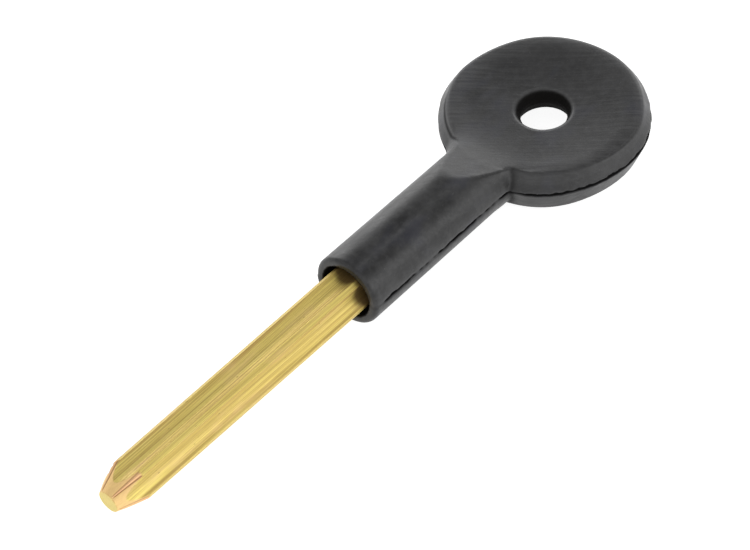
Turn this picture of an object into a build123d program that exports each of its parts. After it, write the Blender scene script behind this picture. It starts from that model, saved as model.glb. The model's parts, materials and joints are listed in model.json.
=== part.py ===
"""Long-reach splined bolt key: a five-ribbed brass shank moulded into a black plastic bow.

Frame: millimetres. The origin is the centre of the hanging hole, on the mould's parting plane.
+X runs along the key from the bow to the nose, and +Z is the normal of the bow's shallower face.
"""
import os
from math import cos, radians, sin, tan

from build123d import *

# Splined shank (brass bar)
rib_count = 5
shank_diameter = 7.5
flute_floor_radius = 2.6
rib_crest_half_angle = 7.5
shank_buried_end_x = 17.5
nose_start_x = 94.0
nose_tip_x = 99.1
nose_tip_radius = 1.95
nose_edge_break = 0.15
bottom_rib_angle = 270.0

# Bow (moulded disc). Both faces tilt a little, so that the bow thickens towards the sleeve.
bow_radius = 16.0
top_face_radius = 14.6
top_face_height = 2.55
top_face_tilt = 1.0
bottom_face_radius = 14.1
bottom_face_depth = 4.35
bottom_face_tilt = 2.0
bow_edge_round = 0.6

# Hanging hole, narrowest on the parting plane and drafted both ways
hole_radius = 3.5
hole_land_length = 0.8
hole_rim_radius = 4.3
top_rim_height = 1.9
bottom_rim_depth = 2.4
hole_rim_round = 0.5

# Sleeve that grips the shank
sleeve_radius_at_bow = 5.65
sleeve_radius_at_mouth = 5.9
sleeve_start_x = 6.0
sleeve_mouth_x = 45.6
sleeve_lip_round = 0.8
mouth_recess_radius = 4.4
mouth_recess_depth = 3.0

# Sloped flats that lead from the bow's two faces up to the sleeve's crown
ramp_angle = 17.0
top_ramp_crest_x = 22.6
bottom_ramp_crest_x = 19.5

# Derived sizes
shank_radius = shank_diameter / 2
rib_pitch_angle = 360 / rib_count
flute_edge_reach = shank_radius * cos(radians(rib_pitch_angle / 2 - rib_crest_half_angle))
flute_radius = (flute_floor_radius**2 + shank_radius**2 - 2 * flute_floor_radius * flute_edge_reach) / (
    2 * (flute_edge_reach - flute_floor_radius)
)
flute_centre_radius = flute_floor_radius + flute_radius
first_flute_angle = bottom_rib_angle + rib_pitch_angle / 2
ramp_slope = tan(radians(ramp_angle))
top_wall_slope = (bow_radius - top_face_radius) / top_face_height
bottom_wall_slope = (bow_radius - bottom_face_radius) / bottom_face_depth

os.makedirs("parts", exist_ok=True)

# --- Splined shank -----------------------------------------------------------------------------
# A turned blank with a conical nose, then one round-bottomed flute between each pair of ribs.
with BuildPart() as splined_shank:
    with BuildSketch(Plane.XY):
        with BuildLine():
            Polyline(
                (shank_buried_end_x, 0),
                (shank_buried_end_x, shank_radius),
                (nose_start_x, shank_radius),
                (nose_tip_x - nose_edge_break, nose_tip_radius),
                (nose_tip_x, nose_tip_radius - nose_edge_break),
                (nose_tip_x, 0),
                close=True,
            )
        make_face()
    revolve(axis=Axis.X)
    with BuildSketch(Plane.YZ.offset(shank_buried_end_x)):
        with PolarLocations(flute_centre_radius, rib_count, start_angle=first_flute_angle):
            Circle(flute_radius)
    extrude(amount=nose_tip_x - shank_buried_end_x, mode=Mode.SUBTRACT)
splined_shank.part.label = "splined_shank"
export_step(splined_shank.part, "parts/splined_shank.step")

# --- Sleeve core -------------------------------------------------------------------------------
# A tapered round sleeve, trimmed above and below by the two ramps that lead onto the bow.
def ramp_height(x, crest_x):
    """The ramp's distance from the parting plane, at a place along the key."""
    return sleeve_radius_at_bow + (x - crest_x) * ramp_slope


with BuildPart() as sleeve_core:
    with BuildSketch(Plane.XY):
        with BuildLine():
            Polyline(
                (sleeve_start_x, 0),
                (sleeve_start_x, sleeve_radius_at_bow),
                (bow_radius, sleeve_radius_at_bow),
                (sleeve_mouth_x, sleeve_radius_at_mouth),
                (sleeve_mouth_x, 0),
                close=True,
            )
        make_face()
    revolve(axis=Axis.X)
    lip = sleeve_core.edges().filter_by(GeomType.CIRCLE).sort_by(Axis.X)[-1]
    fillet(lip, radius=sleeve_lip_round)
    with BuildSketch(Plane.XZ):
        with BuildLine():
            Polyline(
                (sleeve_start_x, -ramp_height(sleeve_start_x, bottom_ramp_crest_x)),
                (sleeve_start_x, ramp_height(sleeve_start_x, top_ramp_crest_x)),
                (sleeve_mouth_x, ramp_height(sleeve_mouth_x, top_ramp_crest_x)),
                (sleeve_mouth_x, -ramp_height(sleeve_mouth_x, bottom_ramp_crest_x)),
                close=True,
            )
        make_face()
    extrude(amount=2 * sleeve_radius_at_mouth, both=True, mode=Mode.INTERSECT)

# --- Bow disc ----------------------------------------------------------------------------------
# A disc with drafted walls, widest on the parting plane, whose two faces are dished by shallow
# cones on tilted axes, and whose hanging hole narrows to a short land on the parting plane.
blank_height = 2 * top_face_height
blank_depth = 2 * bottom_face_depth
dishes = (
    (1, top_rim_height, top_face_radius, top_face_height, top_face_tilt),
    (-1, bottom_rim_depth, bottom_face_radius, bottom_face_depth, bottom_face_tilt),
)

with BuildPart() as bow_disc:
    with BuildSketch(Plane.XZ):
        with BuildLine():
            Polyline(
                (0, blank_height),
                (bow_radius - top_wall_slope * blank_height, blank_height),
                (bow_radius, 0),
                (bow_radius - bottom_wall_slope * blank_depth, -blank_depth),
                (0, -blank_depth),
                close=True,
            )
        make_face()
    revolve(axis=Axis.Z)
    for side, rim_height, face_radius, face_height, tilt in dishes:
        dish_slope = (face_height - rim_height) / (face_radius - hole_rim_radius)
        dish_centre_height = rim_height - dish_slope * hole_rim_radius
        dish_edge_height = dish_centre_height + dish_slope * 2 * bow_radius
        across = (cos(radians(tilt)), 0, side * sin(radians(tilt)))
        upward = (-side * sin(radians(tilt)), 0, cos(radians(tilt)))
        with BuildSketch(Plane(origin=(0, 0, 0), x_dir=across, z_dir=(0, -1, 0))):
            with BuildLine():
                Polyline(
                    (0, side * dish_centre_height),
                    (2 * bow_radius, side * dish_edge_height),
                    (2 * bow_radius, side * 2 * bow_radius),
                    (0, side * 2 * bow_radius),
                    close=True,
                )
            make_face()
        revolve(axis=Axis((0, 0, 0), upward), mode=Mode.SUBTRACT)
    with BuildSketch(Plane.XZ):
        with BuildLine():
            Polyline(
                (0, 2 * top_rim_height - hole_land_length / 2),
                (2 * hole_rim_radius - hole_radius, 2 * top_rim_height - hole_land_length / 2),
                (hole_radius, hole_land_length / 2),
                (hole_radius, -hole_land_length / 2),
                (2 * hole_rim_radius - hole_radius, -2 * bottom_rim_depth + hole_land_length / 2),
                (0, -2 * bottom_rim_depth + hole_land_length / 2),
                close=True,
            )
        make_face()
    revolve(axis=Axis.Z, mode=Mode.SUBTRACT)
    rings = bow_disc.edges().filter_by(lambda edge: edge.is_closed).sort_by(SortBy.LENGTH)
    fillet(rings[2:4], radius=hole_rim_round)
    rings = bow_disc.edges().filter_by(lambda edge: edge.is_closed).sort_by(SortBy.LENGTH)
    fillet(rings[-3:-1], radius=bow_edge_round)

# --- Bow handle --------------------------------------------------------------------------------
# The disc joined to the sleeve, bored for the shank and recessed round it at the mouth. The
# plastic fills the flutes deeper inside, which is what grips the bar.
with BuildPart() as bow_handle:
    add(bow_disc.part)
    add(sleeve_core.part)
    with BuildSketch(Plane.YZ.offset(sleeve_mouth_x)):
        Circle(mouth_recess_radius)
    extrude(amount=-mouth_recess_depth, mode=Mode.SUBTRACT)
    add(splined_shank.part, mode=Mode.SUBTRACT)
bow_handle.part.label = "bow_handle"
export_step(bow_handle.part, "parts/bow_handle.step")
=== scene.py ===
"""Looks for the splined bolt key: a ribbed brass shank moulded into a round black plastic bow.

Shapes are worked out in millimetres, in the CAD frame, and scaled to metres when a mesh is made.
"""
import json
from math import cos, radians, sin, tan

import bpy
import numpy as np
import openvdb
from mathutils import Matrix, Vector


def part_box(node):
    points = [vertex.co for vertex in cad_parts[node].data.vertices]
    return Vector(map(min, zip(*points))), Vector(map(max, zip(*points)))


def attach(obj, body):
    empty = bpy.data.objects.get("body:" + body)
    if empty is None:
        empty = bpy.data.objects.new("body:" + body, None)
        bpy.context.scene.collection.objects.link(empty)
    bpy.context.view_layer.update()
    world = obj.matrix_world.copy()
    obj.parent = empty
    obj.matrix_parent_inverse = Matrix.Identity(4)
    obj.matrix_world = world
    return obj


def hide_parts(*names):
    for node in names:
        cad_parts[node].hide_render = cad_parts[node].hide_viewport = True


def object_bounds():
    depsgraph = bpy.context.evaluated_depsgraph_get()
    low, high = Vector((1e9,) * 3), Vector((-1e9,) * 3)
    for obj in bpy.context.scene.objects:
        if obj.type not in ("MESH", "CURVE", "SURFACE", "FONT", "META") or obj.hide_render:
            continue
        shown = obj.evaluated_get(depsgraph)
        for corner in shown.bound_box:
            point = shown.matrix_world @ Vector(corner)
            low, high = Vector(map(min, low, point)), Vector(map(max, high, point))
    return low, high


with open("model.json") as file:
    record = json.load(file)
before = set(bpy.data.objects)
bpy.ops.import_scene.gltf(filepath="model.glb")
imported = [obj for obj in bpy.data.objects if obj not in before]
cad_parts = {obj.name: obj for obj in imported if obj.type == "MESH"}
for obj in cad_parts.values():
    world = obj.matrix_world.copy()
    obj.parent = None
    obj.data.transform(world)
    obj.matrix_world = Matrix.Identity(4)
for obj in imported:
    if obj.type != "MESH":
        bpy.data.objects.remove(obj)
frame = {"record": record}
cad_low, cad_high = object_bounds()
MM = 0.001

# ------------------------------------------------------------------------------------------------
# Sizes, in millimetres. The main ones are read from the frame. A pair is where a change starts and
# where it is complete.
# ------------------------------------------------------------------------------------------------
handle_low, handle_high = (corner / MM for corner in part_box("bow_handle"))
shank_low, shank_high = (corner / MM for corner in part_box("splined_shank"))
mounts = {mount["name"]: mount for mount in frame["record"]["mounts"]}

bow_radius = -handle_low.x
sleeve_mouth_x = handle_high.x
sleeve_mouth_radius = handle_high.z
hole_radius = mounts["hanging_hole"]["dims"]["r_mm"]
hole_land = mounts["hanging_hole"]["dims"]["length_mm"]
rib_radius = mounts["spline_drive"]["dims"]["r_mm"]
nose_start_x = mounts["spline_drive"]["pos_m"][0] / MM
nose_tip_x = shank_high.x
shank_end_x = shank_low.x

# Bow: each face is dished, tilts a little, and has a ramp that climbs to the sleeve's crown
hole_rim_radius = 4.3
top_face = {
    "side": 1, "rim_height": 1.9, "edge_radius": 14.6, "edge_height": 2.55,
    "tilt": radians(1), "crest_x": 22.6,
}
bottom_face = {
    "side": -1, "rim_height": 2.4, "edge_radius": 14.1, "edge_height": 4.35,
    "tilt": radians(2), "crest_x": 19.5,
}
dish_power = 1.5
rim_roll_start, rim_roll_drop = 12.2, 0.25
bow_edge_round = 0.32
hole_rim_round = 0.4
outline_growth_mean, outline_growth_to_one_side, outline_growth_in_lobes = 0.14, 0.1, 0.12

# Ramps
ramp_slope = tan(radians(17))
ramp_edge_round = 0.2
ramp_blend = 0.75
ramp_flat_half_width, ramp_foot_half_width = 2.8, 10.0
ramp_rise_x = (3, 9)
ramp_full_width_radius = (12.5, 15.5)
ramp_edge_radius = (14.8, 15.8)

# Sleeve, with a sharper corner at the bow on its +Y side than on its other side
sleeve_bow_radius = 5.65
sleeve_root_x = hole_rim_radius + 4
bow_to_sleeve_x = (15.5, 17.5)
right_neck_round, left_neck_round = 0.35, 1.9
neck_round_y = (1, -2)
lip_round = 0.75
recess_radius, recess_depth = 4.4, 3.0
recess_edge_round = 0.2

# Mould's parting line, with the lower half standing a little proud of the upper
seam_z = -0.1
seam_half_width = 0.36
seam_depth = 0.32
seam_step = 0.1
seam_step_half_width = 0.1
seam_fade_before_mouth = (2.4, 1.2)

# Shank's ribbed section
rib_count = 5
rib_pitch = 2 * np.pi / rib_count
rib_crest_half_angle = radians(7.5)
bottom_rib_angle = radians(270)
flute_floor_radius = 2.6
flute_edge_reach = rib_radius * cos(rib_pitch / 2 - rib_crest_half_angle)
flute_radius = (flute_floor_radius**2 + rib_radius**2 - 2 * flute_floor_radius * flute_edge_reach) / (
    2 * (flute_edge_reach - flute_floor_radius)
)
flute_centre_radius = flute_floor_radius + flute_radius
rib_edge_softening = 0.12

# Nose: it was turned slightly off centre, and its end is cut a little out of square
nose_length = nose_tip_x - nose_start_x
nose_slope, nose_slope_change, nose_lean = 0.362, 0.035, radians(146.6)
nose_offset = 0.25
nose_edge_softening, nose_skim = 0.04, 0.05
end_cut_slope, end_cut_lean = tan(radians(9)), radians(56.6)
end_edge_round = 0.15
burr_height, burr_groove_depth = 0.13, 0.05
burr_nicks = ((94.9, radians(136)), (95.9, radians(139)))

# Fineness of the meshes
handle_mesh_step = 0.26
shank_ring_angles = 340
shank_ring_step = 0.5
nose_rings, nose_rings_lead = 90, 0.5


# ------------------------------------------------------------------------------------------------
# Distance tools
# ------------------------------------------------------------------------------------------------
def round_max(a, b, radius):
    """Intersection of two solids' distances, with the edge between them rounded."""
    inside = np.maximum(a + radius, 0) ** 2 + np.maximum(b + radius, 0) ** 2
    return np.minimum(-radius, np.maximum(a, b)) + np.sqrt(inside)


def round_min(a, b, radius):
    """Union of two solids' distances, with a fillet in the corner between them."""
    return -round_max(-a, -b, radius)


def soft_min(a, b, width):
    """The smaller of two lengths, with the crease between them softened over a small width."""
    blend = np.maximum(width - np.abs(a - b), 0) / width
    return np.minimum(a, b) - blend**2 * width / 4


def smooth_step(start, end, value):
    """0 up to the start and 1 past the end, whichever of the two is the larger."""
    share = np.clip((value - start) / (end - start), 0, 1)
    return share * share * (3 - 2 * share)


def bell(offset, width):
    """1 where the offset is 0, falling smoothly to nearly 0 at twice the width."""
    return np.exp(-((offset / width) ** 2))


def slope_between(r0, z0, r1, z1, r, z):
    """Signed distance of (r, z) from the line through two points, positive on its left."""
    length = np.hypot(r1 - r0, z1 - z0)
    return ((z - z0) * (r1 - r0) - (r - r0) * (z1 - z0)) / length


def apart(angle, place):
    """The signed angle from a place to an angle, by the shorter way round."""
    return (angle - place + np.pi) % (2 * np.pi) - np.pi


def from_nearest_rib(angle):
    """The signed angle from the middle of the nearest rib."""
    return (angle - bottom_rib_angle + rib_pitch / 2) % rib_pitch - rib_pitch / 2


# ------------------------------------------------------------------------------------------------
# Mesh tools
# ------------------------------------------------------------------------------------------------
def finish_mesh(name, points, faces):
    """A smooth-shaded object of points in millimetres."""
    mesh = bpy.data.meshes.new(name)
    mesh.from_pydata((points * MM).tolist(), [], faces)
    mesh.validate()
    mesh.shade_smooth()
    piece = bpy.data.objects.new(name, mesh)
    bpy.context.scene.collection.objects.link(piece)
    return piece


def move_onto_surface(points, distance, step):
    """Newton steps that bring each point to where distance(x, y, z) is 0."""
    nudge = 0.02 * step
    for _ in range(4):
        here = distance(*points.T)
        ahead = [distance(*(points + nudge * unit).T) for unit in np.eye(3)]
        behind = [distance(*(points - nudge * unit).T) for unit in np.eye(3)]
        gradient = np.stack(np.subtract(ahead, behind), axis=1) / (2 * nudge)
        steepness = np.maximum((gradient**2).sum(axis=1), 0.25)
        points = points - gradient * (np.clip(here, -step, step) / steepness)[:, None]
    return points


def mesh_from_distance(name, distance, low, high, step, level):
    """Polygonises the surface where distance(x, y, z) is 0, and returns its object and its points.

    The grid's heights lie half a step to each side of the level, so that a row of the mesh's points
    falls there and a thin line is caught.
    """
    low = [low[0], low[1], level - np.ceil((level - low[2]) / step) * step - step / 2]
    axes = [np.arange(a - 2 * step, b + 3 * step, step) for a, b in zip(low, high)]
    x, y, z = np.meshgrid(*axes, indexing="ij", sparse=True)
    band = 3 * step
    grid = openvdb.FloatGrid(band)
    grid.copyFromArray(np.clip(distance(x, y, z), -band, band).astype(np.float32))
    points, quads = grid.convertToQuads()
    points = points * step + np.array([axis[0] for axis in axes])
    points = move_onto_surface(points, distance, step)
    return finish_mesh(name, points, quads.tolist()), points


def store_mask(piece, name, values):
    """Keeps one number per point for the materials to read."""
    attribute = piece.data.attributes.new(name, "FLOAT", "POINT")
    attribute.data.foreach_set("value", np.asarray(values, dtype=np.float32))


# ------------------------------------------------------------------------------------------------
# Bow handle: its surface
# ------------------------------------------------------------------------------------------------
def lid_distance(face, x, y, z, r):
    """One face of the handle: the dished bow, with the ramp rising out of it towards the sleeve."""
    steepness_allowance = 0.97
    reach = np.maximum(r - hole_rim_radius, 0) / (face["edge_radius"] - hole_rim_radius)
    roll = np.clip((r - rim_roll_start) / (face["edge_radius"] - rim_roll_start), 0, 1.2)
    spread = 1 - smooth_step(ramp_flat_half_width, ramp_foot_half_width, np.abs(y))
    off_ramp = 1 - spread * smooth_step(*ramp_rise_x, x)
    dish = face["rim_height"] + (face["edge_height"] - face["rim_height"]) * reach**dish_power
    dish = dish + rim_roll_drop * (np.clip(reach, 0, 1) - roll**2) * off_ramp + x * tan(face["tilt"])
    ramp = sleeve_bow_radius + (x - face["crest_x"]) * ramp_slope
    rise = (ramp - dish + np.hypot(ramp - dish, ramp_blend)) / 2
    spread = np.maximum(spread, smooth_step(*ramp_full_width_radius, r) * (x > 0))
    return (face["side"] * z - dish - rise * spread) * steepness_allowance


def wall_distance(face, r, z):
    """The bow's drafted side wall, from the parting plane to one face."""
    return -slope_between(bow_radius, 0, face["edge_radius"], face["edge_height"], r, face["side"] * z)


def walls_distance(r, z):
    return np.maximum(wall_distance(top_face, r, z), wall_distance(bottom_face, r, z))


def hole_distance(r, z):
    """The hanging hole, narrowest at its land and drafted both ways from there."""
    steepness_allowance = 0.92
    half_land = hole_land / 2
    draft_up = (hole_rim_radius - hole_radius) / (top_face["rim_height"] - half_land)
    draft_down = (hole_rim_radius - hole_radius) / (bottom_face["rim_height"] - half_land)
    wall = hole_radius + np.maximum(z - half_land, 0) * draft_up + np.maximum(-z - half_land, 0) * draft_down
    return (r - wall) * steepness_allowance


def sleeve_distance(x, around):
    taper = (sleeve_mouth_radius - sleeve_bow_radius) / (sleeve_mouth_x - bow_radius)
    side = around - (sleeve_bow_radius + taper * (np.maximum(x, bow_radius) - bow_radius))
    return np.maximum(round_max(side, x - sleeve_mouth_x, lip_round), sleeve_root_x - x)


def seam_profile(x, y, z):
    """1 in the middle of the parting groove, 0 outside it. The groove wavers a little in height."""
    waver = 0.05 * np.sin(1.3 * x + 0.7 * y) + 0.04 * np.sin(2.9 * x - 2.1 * y)
    return np.cos(np.clip((z - seam_z - waver) / seam_half_width, -1, 1) * np.pi / 2) ** 2


def seam_strength(x, y):
    """How deep the parting groove is along the key and round the bow, from 0 to 1."""
    angle = np.arctan2(y, x)
    round_bow = 0.66 + 0.34 * np.sin(angle - 0.6)
    round_bow = round_bow + 0.14 * np.sin(11 * angle) + 0.12 * np.sin(23 * angle + 1)
    along_sleeve = 0.42 + 0.22 * np.sin(0.42 * x + 3.2)
    along_sleeve = along_sleeve + 0.1 * np.sin(1.7 * x) + 0.1 * np.sin(4.1 * x + 2)
    fade_start, fade_end = (sleeve_mouth_x - length for length in seam_fade_before_mouth)
    along_sleeve = along_sleeve * (1 - smooth_step(fade_start, fade_end, x))
    on_sleeve = smooth_step(*bow_to_sleeve_x, x)
    return np.clip(round_bow * (1 - on_sleeve) + along_sleeve * on_sleeve, 0, 1)


def outline_growth(x, y):
    """The bow's outline is not quite round: how far it stands outside its circle."""
    angle = np.arctan2(y, x)
    lobes = outline_growth_in_lobes * np.cos(5 * (angle - radians(35))) * np.sin(angle)
    growth = outline_growth_mean + outline_growth_to_one_side * np.cos(angle - radians(125)) + lobes
    return growth * (1 - smooth_step(*bow_to_sleeve_x, x))


def handle_distance(x, y, z):
    r, around = np.hypot(x, y), np.hypot(y, z)
    neck_round = right_neck_round + (left_neck_round - right_neck_round) * smooth_step(*neck_round_y, y)
    solid = round_min(walls_distance(r, z), sleeve_distance(x, around), neck_round)
    groove = seam_depth * seam_strength(x, y) * seam_profile(x, y, z)
    step = seam_step * smooth_step(-seam_step_half_width, seam_step_half_width, z - seam_z)
    solid = solid + (groove + step) - outline_growth(x, y)
    edge_round = bow_edge_round + (ramp_edge_round - bow_edge_round) * smooth_step(*ramp_edge_radius, r)
    for face in (top_face, bottom_face):
        solid = round_max(solid, lid_distance(face, x, y, z, r), edge_round)
    solid = round_max(solid, -hole_distance(r, z), hole_rim_round)
    recess = np.maximum(around - recess_radius, sleeve_mouth_x - recess_depth - x)
    return round_max(solid, -recess, recess_edge_round)


# ------------------------------------------------------------------------------------------------
# Bow handle: where its looks change. Each mask is 1 where its look is full and 0 where there is none.
# ------------------------------------------------------------------------------------------------
def seam_shade_mask(x, y, z):
    """Painted shade in the parting groove, but not inside the hole or the recess."""
    outside = (np.hypot(x, y) > 10) & ((x < sleeve_mouth_x - 1) | (np.abs(y) > recess_radius + 0.4))
    return seam_profile(x, y, z) * seam_strength(x, y) * outside


def recess_shade_mask(x, y, z):
    """Painted shade on the inside of the recess at the mouth and of the hanging hole."""
    in_recess = smooth_step(recess_radius + 0.25, recess_radius + 0.05, np.hypot(y, z))
    in_recess = in_recess * (x > sleeve_mouth_x - recess_depth - 0.1)
    in_hole = smooth_step(hole_rim_radius + 0.1, hole_rim_radius - 0.35, np.hypot(x, y))
    return np.maximum(in_recess, in_hole)


def bow_mask(x, y, z):
    return smooth_step(17, 13, x)


def under_shade_mask(x, y, z):
    """Painted shade on the half below the parting line, strongest on the bow."""
    sleeve_share = 0.6
    return (sleeve_share + (1 - sleeve_share) * bow_mask(x, y, z)) * smooth_step(0.0, -0.5, z)


def worn_sheen_mask(x, y, z):
    """Paler plastic, partly rubbed and partly painted sheen: a broad painted highlight to one side of the
    face, parts of its edge, the hole's rim.
    """
    lowest_worn_sheen_z = 1.4
    r, angle = np.hypot(x, y), np.arctan2(y, x)
    wide_sheen = (0.5 + 0.5 * np.cos(angle + radians(60))) * smooth_step(10, 13.5, r)
    edge_wear_sheen = np.clip(1.2 - 1.2 * np.cos(angle - radians(50)), 0, 1) * smooth_step(13.2, 14.4, r)
    face_wear_sheen = np.maximum(wide_sheen, edge_wear_sheen) * smooth_step(16.2, 15, r)
    hole_wear_sheen = smooth_step(5.0, 4.45, r)
    return np.maximum(face_wear_sheen, hole_wear_sheen) * (z > lowest_worn_sheen_z)


def crease_shade_mask(x, y, z):
    """Painted shade in a crease along one side of the face's edge, and in one corner of the neck."""
    r, degrees_round = np.hypot(x, y), np.degrees(np.arctan2(y, x))
    along = smooth_step(-66, -54, degrees_round) * smooth_step(-16, -24, degrees_round)
    edge_crease = bell(r - top_face["edge_radius"] - 0.15, 0.16) * along * (z > 1.2)
    from_wall, from_side = walls_distance(r, z), np.hypot(y, z) - sleeve_bow_radius
    neck_corner = bell(np.hypot(from_wall, from_side), 0.75) * smooth_step(3.5, 5, y)
    neck_corner = neck_corner * smooth_step(-0.1, 0.35, from_side) * (x > 0)
    return np.maximum(edge_crease, 0.75 * neck_corner)


def make_handle():
    piece, points = mesh_from_distance(
        "handle_moulding", handle_distance, handle_low, handle_high, handle_mesh_step, seam_z
    )
    masks = {
        "seam": seam_shade_mask, "recess": recess_shade_mask, "under_shade": under_shade_mask,
        "bow": bow_mask, "worn_sheen": worn_sheen_mask, "crease": crease_shade_mask,
    }
    for name, mask in masks.items():
        store_mask(piece, name, mask(*points.T))
    return piece


# ------------------------------------------------------------------------------------------------
# Splined shank
# ------------------------------------------------------------------------------------------------
def star_radius(angle):
    """How far the ribbed section reaches at each angle round the shank."""
    from_floor = rib_pitch / 2 - np.abs(from_nearest_rib(angle))
    chord = np.maximum(flute_radius**2 - (flute_centre_radius * np.sin(from_floor)) ** 2, 0)
    flute = np.where(chord > 0, flute_centre_radius * np.cos(from_floor) - np.sqrt(chord), rib_radius)
    return soft_min(flute, rib_radius, rib_edge_softening)


def nose_radius(x, angle):
    slope = nose_slope + nose_slope_change * np.cos(angle - nose_lean)
    offset = nose_offset * np.clip(np.cos(angle - nose_lean), 0, 1)
    return rib_radius + offset - (x - nose_start_x) * (slope + offset / nose_length)


def rib_burr(angle, x):
    """The turning tool left a thin raised burr along each rib of the nose, with a dark line each side."""
    taper = np.clip((nose_tip_x - x) / nose_length, 0, 1)
    aside = from_nearest_rib(angle) * nose_radius(x, angle) / (0.35 + 0.75 * taper)
    here = smooth_step(nose_start_x - 0.4, nose_start_x + 0.3, x) * smooth_step(0, 0.12, taper)
    ridge = bell(aside, 0.2) * here
    lines = bell(np.abs(aside) - 0.34, 0.11) * here
    for nick_x, nick_angle in burr_nicks:
        lines = lines + 2 * bell(x - nick_x, 0.25) * bell(angle - nick_angle, 0.1)
    # The line on one side is deeper and darker; its dark colour is partly the burr's painted shadow.
    return ridge, lines * (1 + 0.5 * (aside < 0))


def die_marks_and_shade(angle, x):
    """Darker marks along the bar: die marks at each rib's edges and one deeper die line, and two broader
    bands of painted shade in the flutes either side of a rib.
    """
    edges = 0.6 * bell(np.abs(from_nearest_rib(angle)) - radians(8.5), radians(1.1))
    marks = edges * (0.6 + 0.4 * np.sin(0.23 * x + 3 * angle))
    # The bands at 41.6 and 73 degrees are painted shade; the thin one at 11 degrees is a die line.
    for degrees_round, width, strength in ((41.6, 2.6, 0.5), (11, 1.1, 0.65), (73, 5, 0.42)):
        mark = bell(apart(angle, radians(degrees_round)), radians(width))
        marks = marks + strength * mark * (0.8 + 0.2 * np.sin(0.31 * x + degrees_round))
    return np.clip(marks, 0, 1) * (1 - smooth_step(nose_start_x - 1, nose_start_x + 0.5, x))


def drawing_lines(angle, x):
    """Shallow lengthwise lines left by the drawing die."""
    line_count, line_depth = 46, 0.03
    numbers = np.random.default_rng(7)
    lines = np.zeros_like(angle)
    for _ in range(line_count):
        place, width = numbers.uniform(0, 2 * np.pi), numbers.uniform(0.012, 0.045)
        depth = numbers.uniform(-1, 0.6)
        pitch, phase = numbers.uniform(12, 40), numbers.uniform(0, 2 * np.pi)
        fading = 0.6 + 0.4 * sin(2 * np.pi * x / pitch + phase)
        lines += depth * line_depth * bell(apart(angle, place), width) * fading
    return lines


def mouth_shade(x, flute_depth):
    """Painted shadow of the sleeve on the bar at its mouth, which reaches further out in the flutes."""
    return smooth_step(0.5 + 1.2 * flute_depth, -0.5 + 0.8 * flute_depth, x - sleeve_mouth_x)


def shank_rings(angle):
    """The rings of points along the bar, from its buried end to the middle of the nose's end.

    Each is its place, its radius at each angle, how far it leans with the end's cut, and its masks.
    """
    star = star_radius(angle)
    flute_depth = (rib_radius - star) / (rib_radius - flute_floor_radius)
    body_x = np.arange(shank_end_x, nose_start_x - nose_rings_lead - 0.1, shank_ring_step)
    nose_x = np.linspace(nose_start_x - nose_rings_lead, nose_tip_x - end_edge_round, nose_rings)
    for x in np.concatenate([body_x, nose_x]):
        ribbed, nose = star + drawing_lines(angle, x), nose_radius(x, angle)
        lean = np.clip((x - nose_start_x) / nose_length, 0, 1) ** 2
        ridge, line = rib_burr(angle, x)
        radius = soft_min(ribbed, nose - nose_skim, nose_edge_softening)
        radius = radius + burr_height * ridge - burr_groove_depth * line
        yield x, radius, lean, {
            "turned": smooth_step(-0.05, 0.05, ribbed - nose),
            "ridge": ridge,
            "line": np.maximum(line, 0.7 * die_marks_and_shade(angle, x)),
            "mouth": mouth_shade(x, flute_depth),
        }
    end_radius = nose_radius(nose_tip_x, angle)
    for share in (0.3, 0.65, 0.9, 1.0):
        turn = share * np.pi / 2
        radius = end_radius - end_edge_round * (1 - cos(turn))
        x = nose_tip_x - end_edge_round + end_edge_round * sin(turn)
        yield x, radius, 1, {"turned": 0.5, "cut": share > 0.8}
    for share in (0.9, 0.75, 0.6, 0.4, 0.2, 0.08):
        yield nose_tip_x, (end_radius - end_edge_round) * share, 1, {"cut": 1}


def tube_faces(rings, angles):
    """Quads between neighbouring rings, and a fan of triangles to a middle point at each end."""
    first = 1 + np.arange(rings)[:, None] * angles + np.arange(angles)[None, :]
    after = np.roll(first, -1, axis=1)
    sides = np.stack([first[:-1], after[:-1], after[1:], first[1:]], axis=-1).reshape(-1, 4).tolist()
    last_point = rings * angles + 1
    start_cap = [[0, b, a] for a, b in zip(first[0], after[0])]
    end_cap = [[a, b, last_point] for a, b in zip(first[-1], after[-1])]
    return sides + start_cap + end_cap


def make_shank():
    angle = np.arange(shank_ring_angles) * 2 * np.pi / shank_ring_angles
    points = [np.array([[shank_end_x, 0.0, 0.0]])]
    masks = {name: [np.zeros(1)] for name in ("turned", "cut", "ridge", "line", "mouth")}
    for x, radius, lean, ring_masks in shank_rings(angle):
        ring_x = x + lean * end_cut_slope * radius * np.cos(angle - end_cut_lean)
        points.append(np.stack([ring_x, radius * np.cos(angle), radius * np.sin(angle)], axis=1))
        for name, mask in masks.items():
            mask.append(ring_masks.get(name, 0) * np.ones(shank_ring_angles))
    rings = len(points) - 1
    points.append(np.array([[nose_tip_x, 0.0, 0.0]]))
    for name, mask in masks.items():
        mask.append(np.full(1, float(name == "cut")))
    piece = finish_mesh("shank_bar", np.concatenate(points), tube_faces(rings, shank_ring_angles))
    for name, mask in masks.items():
        store_mask(piece, name, np.concatenate(mask))
    return piece


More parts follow.
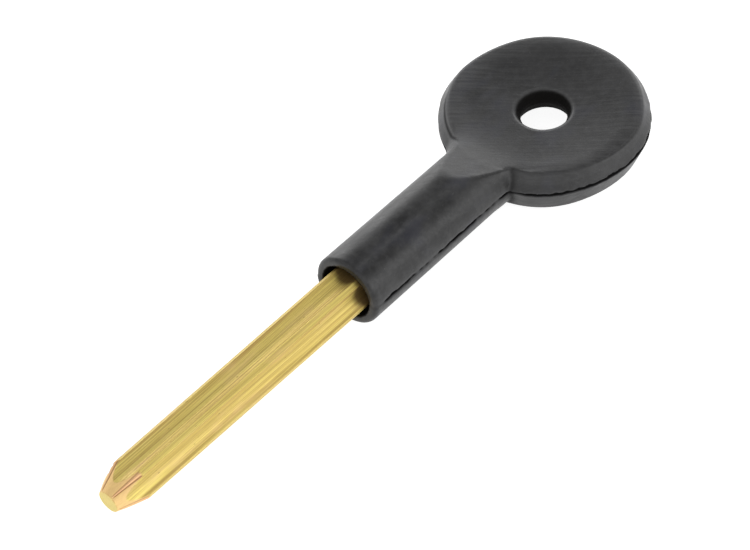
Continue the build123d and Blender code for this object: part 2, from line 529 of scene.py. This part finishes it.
# ------------------------------------------------------------------------------------------------
# Materials
# ------------------------------------------------------------------------------------------------
class Shading:
    """A material's node tree, with short calls for the nodes used here. Positions are in millimetres."""

    def __init__(self, name):
        self.material = bpy.data.materials.new(name)
        self.material.use_nodes = True
        self.tree = self.material.node_tree
        self.shader = self.tree.nodes["Principled BSDF"]
        place = self.tree.nodes.new("ShaderNodeTexCoord").outputs["Object"]
        self.place = self.vector("SCALE", place, scale=1 / MM)

    def put(self, socket, value):
        """Links a node's output to a socket, or gives the socket a plain value."""
        if isinstance(value, bpy.types.NodeSocket):
            self.tree.links.new(value, socket)
        else:
            socket.default_value = value

    def vector(self, operation, a, b=None, scale=None):
        node = self.tree.nodes.new("ShaderNodeVectorMath")
        node.operation = operation
        self.put(node.inputs[0], a)
        if b is not None:
            self.put(node.inputs[1], b)
        if scale is not None:
            node.inputs["Scale"].default_value = scale
        return node.outputs["Vector"]

    def math(self, operation, a, b=0.0, clamp=False):
        node = self.tree.nodes.new("ShaderNodeMath")
        node.operation = operation
        node.use_clamp = clamp
        self.put(node.inputs[0], a)
        self.put(node.inputs[1], b)
        return node.outputs[0]

    def times(self, a, b, clamp=False):
        return self.math("MULTIPLY", a, b, clamp)

    def plus(self, a, b, clamp=False):
        return self.math("ADD", a, b, clamp)

    def along_key(self):
        """How far along the key, from the hanging hole towards the nose."""
        node = self.tree.nodes.new("ShaderNodeSeparateXYZ")
        self.put(node.inputs[0], self.place)
        return node.outputs["X"]

    def turned_place(self, angle):
        """Positions turned about Z, so that a direction across the bow becomes X."""
        node = self.tree.nodes.new("ShaderNodeVectorRotate")
        node.rotation_type = "Z_AXIS"
        node.inputs["Angle"].default_value = angle
        self.put(node.inputs["Vector"], self.place)
        return node.outputs["Vector"]

    def noise(self, stretch, place=None, detail=3.0, roughness=0.55):
        """Noise from 0 to 1, with stretch features per millimetre along X, Y and Z."""
        node = self.tree.nodes.new("ShaderNodeTexNoise")
        node.inputs["Scale"].default_value = 1.0
        node.inputs["Detail"].default_value = detail
        node.inputs["Roughness"].default_value = roughness
        self.put(node.inputs["Vector"], self.vector("MULTIPLY", place or self.place, stretch))
        return node.outputs["Fac"]

    def spots(self, stretch, size):
        """1 inside small scattered spots, 0 between them."""
        node = self.tree.nodes.new("ShaderNodeTexVoronoi")
        node.inputs["Scale"].default_value = 1.0
        self.put(node.inputs["Vector"], self.vector("MULTIPLY", self.place, stretch))
        return self.ramp(node.outputs["Distance"], size, size * 0.5)

    def ramp(self, value, low, high, to_low=0.0, to_high=1.0):
        """Maps low..high smoothly to to_low..to_high."""
        node = self.tree.nodes.new("ShaderNodeMapRange")
        node.interpolation_type = "SMOOTHSTEP"
        self.put(node.inputs["Value"], value)
        node.inputs["From Min"].default_value = low
        node.inputs["From Max"].default_value = high
        node.inputs["To Min"].default_value = to_low
        node.inputs["To Max"].default_value = to_high
        return node.outputs["Result"]

    def mix(self, share, a, b):
        """Colour a where the share is 0 and colour b where it is 1."""
        node = self.tree.nodes.new("ShaderNodeMix")
        node.data_type = "RGBA"
        self.put(node.inputs["Factor"], share)
        for name, value in (("A", a), ("B", b)):
            socket = next(s for s in node.inputs if s.name == name and s.type == "RGBA")
            self.put(socket, value if isinstance(value, bpy.types.NodeSocket) else (*value, 1))
        return next(s for s in node.outputs if s.type == "RGBA")

    def mask(self, name):
        node = self.tree.nodes.new("ShaderNodeAttribute")
        node.attribute_name = name
        return node.outputs["Fac"]

    def bump(self, height, depth_mm):
        node = self.tree.nodes.new("ShaderNodeBump")
        node.inputs["Strength"].default_value = 1.0
        node.inputs["Distance"].default_value = depth_mm * MM
        self.put(node.inputs["Height"], height)
        self.put(self.shader.inputs["Normal"], node.outputs["Normal"])


def plastic_colour(look, clouds, streaks):
    """Cloudy grey-black with rubbed streaks, mottling and dust specks."""
    deep_black, cloud_black = (0.011, 0.011, 0.0112), (0.026, 0.026, 0.0265)
    rubbed_black, blue_black = (0.030, 0.030, 0.0307), (0.031, 0.032, 0.044)
    streak_grey, mottle_grey = (0.052, 0.052, 0.0535), (0.044, 0.044, 0.045)
    dust_grey, worn_sheen_grey = (0.12, 0.12, 0.12), (0.066, 0.066, 0.067)
    blue_clouds = look.noise((0.1, 0.23, 0.2), detail=2)
    mottle = look.noise((0.9, 0.9, 0.9), detail=4, roughness=0.65)
    specks = look.noise((2.4, 2.4, 2.4), detail=5, roughness=0.7)
    colour = look.mix(look.ramp(clouds, 0.35, 0.65), deep_black, cloud_black)
    rub_marks = look.times(look.mask("bow"), look.ramp(clouds, 0.66, 0.34, 0.1, 0.8))
    colour = look.mix(rub_marks, colour, rubbed_black)
    colour = look.mix(look.ramp(blue_clouds, 0.52, 0.72, 0, 0.5), colour, blue_black)
    rubs = look.times(look.ramp(streaks, 0.48, 0.78, 0, 0.5), look.mask("bow"))
    colour = look.mix(rubs, colour, streak_grey)
    colour = look.mix(look.ramp(mottle, 0.42, 0.66, 0, 0.4), colour, mottle_grey)
    colour = look.mix(look.times(look.ramp(specks, 0.63, 0.72), 0.4), colour, dust_grey)
    # Paler plastic at the face's edges and the hole's rim: partly wear, partly painted sheen and highlight.
    worn_sheen = look.times(look.mask("worn_sheen"), look.ramp(streaks, 0.3, 0.7, 0.25, 0.6))
    return look.mix(worn_sheen, colour, worn_sheen_grey)


def black_plastic():
    """Satin moulded plastic, with painted shade in the seam, the crease, the hole and the recess, which are
    also rougher.
    """
    under_shade_black, seam_shade_black = (0.008, 0.008, 0.008), (0.002, 0.002, 0.002)
    crease_shade_black, recess_shade_black = (0.004, 0.004, 0.004), (0.003, 0.0025, 0.002)
    bump_depth = 0.018
    look = Shading("black_plastic")
    across_bow = look.turned_place(radians(-130))
    clouds = look.noise((0.16, 0.16, 0.16), detail=4)
    streaks = look.noise((0.09, 2.2, 1.4), place=across_bow, detail=4, roughness=0.7)
    grain = look.noise((3.5, 3.5, 3.5), detail=2)
    seam = look.ramp(look.mask("seam"), 0.06, 0.42)
    colour = plastic_colour(look, clouds, streaks)
    # Painted shade on the half below the parting line.
    colour = look.mix(look.times(look.mask("under_shade"), 0.6), colour, under_shade_black)
    # Painted shade in the parting groove.
    colour = look.mix(seam, colour, seam_shade_black)
    # Painted shade in the crease at the face's edge and in the neck corner.
    colour = look.mix(look.times(look.mask("crease"), 0.8), colour, crease_shade_black)
    # Painted shade inside the hanging hole and the recess at the mouth.
    colour = look.mix(look.times(look.mask("recess"), 0.9), colour, recess_shade_black)
    look.put(look.shader.inputs["Base Color"], colour)
    # The places that hold painted shade are also made rougher and duller.
    dirt_and_shade = look.plus(seam, look.mask("recess"), clamp=True)
    dirt_and_shade = look.plus(dirt_and_shade, look.times(look.mask("crease"), 0.7), clamp=True)
    roughness = look.plus(look.ramp(streaks, 0.3, 0.7, 0.31, 0.42), look.ramp(clouds, 0.3, 0.7, -0.04, 0.06))
    look.put(look.shader.inputs["Roughness"], look.plus(roughness, look.times(dirt_and_shade, 0.4)))
    dullness = look.plus(dirt_and_shade, look.times(look.mask("under_shade"), 0.5), clamp=True)
    look.put(look.shader.inputs["Specular IOR Level"], look.ramp(dullness, 0, 1, 0.34, 0.06))
    scratches = look.times(streaks, look.plus(look.mask("bow"), 0.15))
    look.bump(look.plus(look.times(grain, 0.7), scratches), bump_depth)
    return look.material


def brass_colour(look, fine_lines, clouds, pits):
    """Drawn brass with lengthwise lines, pinker on the turned nose, and with a painted shadow at the
    sleeve's mouth.
    """
    drawn_brass, pale_brass = (0.64, 0.495, 0.131), (0.77, 0.625, 0.172)
    brown_line, bright_line = (0.42, 0.28, 0.08), (0.88, 0.76, 0.34)
    pink_cloud, pit_brown = (0.72, 0.50, 0.22), (0.20, 0.14, 0.05)
    turned_brass, cut_brass = (0.84, 0.56, 0.25), (0.70, 0.58, 0.22)
    burr_copper, mark_and_shade_brown, mouth_shadow_brown = (0.86, 0.48, 0.29), (0.36, 0.17, 0.08), (0.10, 0.055, 0.02)
    broad_lines = look.noise((0.012, 1.1, 1.1), detail=2)
    colour = look.mix(look.ramp(broad_lines, 0.35, 0.65), drawn_brass, pale_brass)
    colour = look.mix(look.ramp(fine_lines, 0.4, 0.58, 0.75, 0), colour, brown_line)
    colour = look.mix(look.ramp(fine_lines, 0.6, 0.7, 0, 0.5), colour, bright_line)
    colour = look.mix(look.ramp(clouds, 0.5, 0.75, 0, 0.5), colour, pink_cloud)
    colour = look.mix(look.times(pits, 0.75), colour, pit_brown)
    colour = look.mix(look.times(look.mask("turned"), 0.8), colour, turned_brass)
    colour = look.mix(look.times(look.mask("ridge"), 0.7), colour, burr_copper)
    # Dark lines and marks: partly grooves and die marks, partly painted shade and shadow.
    colour = look.mix(look.times(look.mask("line"), 0.8, clamp=True), colour, mark_and_shade_brown)
    colour = look.mix(look.times(look.mask("cut"), 0.8), colour, cut_brass)
    # Painted shadow of the sleeve's lip on the bar at its mouth.
    return look.mix(look.times(look.mask("mouth"), 0.9), colour, mouth_shadow_brown)


def brass():
    """Drawn brass with small pits, and fine lathe rings on the nose."""
    bump_depth, lathe_pitch = 0.018, 0.16
    look = Shading("brass")
    fine_lines = look.noise((0.035, 6.0, 6.0), detail=4, roughness=0.65)
    clouds = look.noise((0.12, 0.5, 0.5), detail=3)
    pits = look.times(look.spots((0.5, 1.5, 1.5), 0.13), look.ramp(clouds, 0.45, 0.65))
    look.put(look.shader.inputs["Base Color"], brass_colour(look, fine_lines, clouds, pits))
    look.shader.inputs["Metallic"].default_value = 0.45
    look.shader.inputs["Specular IOR Level"].default_value = 0.3
    roughness = look.plus(look.ramp(fine_lines, 0.35, 0.65, 0.52, 0.40), look.times(pits, 0.3))
    look.put(look.shader.inputs["Roughness"], look.plus(roughness, look.times(look.mask("cut"), 0.2)))
    rings = look.math("SINE", look.times(look.along_key(), 2 * np.pi / lathe_pitch))
    lathe = look.times(look.times(rings, look.mask("turned")), 0.05)
    look.bump(look.math("SUBTRACT", look.plus(fine_lines, lathe), look.times(pits, 0.6)), bump_depth)
    return look.material


# ------------------------------------------------------------------------------------------------
# Floor and lights. An azimuth of 0 is +X, towards the nose, and 90 is +Y.
# ------------------------------------------------------------------------------------------------
def direction(azimuth, elevation):
    """The unit vector at an azimuth and an elevation in degrees."""
    azimuth, elevation = radians(azimuth), radians(elevation)
    return Vector((cos(azimuth) * cos(elevation), sin(azimuth) * cos(elevation), sin(elevation)))


def make_floor(half_width=4.0, grey=0.5, glow=0.88):
    """A plain pale sheet, which glows so that it stays nearly white and the key's shadow faint."""
    mesh = bpy.data.meshes.new("floor")
    corners = [(x * half_width, y * half_width, cad_low.z) for x, y in ((-1, -1), (1, -1), (1, 1), (-1, 1))]
    mesh.from_pydata(corners, [], [(0, 1, 2, 3)])
    floor = bpy.data.objects.new("floor", mesh)
    bpy.context.scene.collection.objects.link(floor)
    paper = bpy.data.materials.new("paper")
    paper.use_nodes = True
    shader = paper.node_tree.nodes["Principled BSDF"]
    shader.inputs["Base Color"].default_value = (grey, grey, grey, 1)
    shader.inputs["Roughness"].default_value = 1
    shader.inputs["Specular IOR Level"].default_value = 0
    shader.inputs["Emission Color"].default_value = (1, 1, 1, 1)
    shader.inputs["Emission Strength"].default_value = glow
    mesh.materials.append(paper)


def add_softbox(name, azimuth, elevation, width, height, radiance, distance=1.2):
    """A rectangular soft light aimed at the key. Radiance 1 is as bright as white paper."""
    data = bpy.data.lights.new(name, "AREA")
    data.shape = "RECTANGLE"
    data.size, data.size_y = width, height
    data.energy = radiance * np.pi * width * height
    light = bpy.data.objects.new(name, data)
    toward = direction(azimuth, elevation)
    turn = toward.to_track_quat("Z", "Y").to_matrix().to_4x4()
    light.matrix_world = Matrix.Translation(aim + toward * distance) @ turn
    bpy.context.scene.collection.objects.link(light)


def make_world(brightness, dark_brightness, dark_azimuth, dark_elevation, dark_core=14, dark_edge=56):
    """A white light tent with one dimmer patch, where its roof is open. Angles are in degrees."""
    world = bpy.data.worlds.new("tent")
    world.use_nodes = True
    nodes, links = world.node_tree.nodes, world.node_tree.links
    outward = nodes.new("ShaderNodeTexCoord").outputs["Generated"]
    toward_patch = nodes.new("ShaderNodeVectorMath")
    toward_patch.operation = "DOT_PRODUCT"
    links.new(outward, toward_patch.inputs[0])
    toward_patch.inputs[1].default_value = direction(dark_azimuth, dark_elevation)
    strength = nodes.new("ShaderNodeMapRange")
    strength.interpolation_type = "SMOOTHSTEP"
    links.new(toward_patch.outputs["Value"], strength.inputs["Value"])
    strength.inputs["From Min"].default_value = cos(radians(dark_edge))
    strength.inputs["From Max"].default_value = cos(radians(dark_core))
    strength.inputs["To Min"].default_value = brightness
    strength.inputs["To Max"].default_value = dark_brightness
    nodes["Background"].inputs["Color"].default_value = (1, 1, 1, 1)
    links.new(strength.outputs["Result"], nodes["Background"].inputs["Strength"])
    bpy.context.scene.world = world


# ------------------------------------------------------------------------------------------------
# Camera: it looks down on the key from beside the nose, through a long lens.
# ------------------------------------------------------------------------------------------------
aim = Vector((0.0403, 0.0012, 0.0))
camera_distance = 2.112
camera_azimuth, camera_elevation, camera_roll = radians(133.02), radians(46.1), radians(-3.64)
lens_length, sensor_width = 687.0, 36
clip_end = 20


def make_camera():
    back = Vector((
        sin(camera_azimuth) * cos(camera_elevation),
        -cos(camera_azimuth) * cos(camera_elevation),
        sin(camera_elevation),
    ))
    data = bpy.data.cameras.new("camera")
    data.lens, data.sensor_width, data.clip_end = lens_length, sensor_width, clip_end
    camera = bpy.data.objects.new("camera", data)
    turn = back.to_track_quat("Z", "Y").to_matrix().to_4x4() @ Matrix.Rotation(camera_roll, 4, "Z")
    camera.matrix_world = Matrix.Translation(aim + back * camera_distance) @ turn
    bpy.context.scene.collection.objects.link(camera)
    bpy.context.scene.camera = camera


# ------------------------------------------------------------------------------------------------
# The key and its stage
# ------------------------------------------------------------------------------------------------
handle, shank = make_handle(), make_shank()
handle.data.materials.append(black_plastic())
shank.data.materials.append(brass())

for piece, node, slot in ((handle, "bow_handle", "black_plastic"), (shank, "splined_shank", "brass")):
    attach(piece, "root")
    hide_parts(node)

make_floor()
make_world(1.0, 0.22, 188, 56)
add_softbox("back_left_box", 222, 16, 1.6, 0.55, 2.15)
add_softbox("right_box", 112, 17, 1.0, 0.5, 1.8)
add_softbox("roof_strip", 172, 61, 0.08, 0.9, 5.8)
make_camera()
bpy.context.scene.view_settings.view_transform = "Standard"
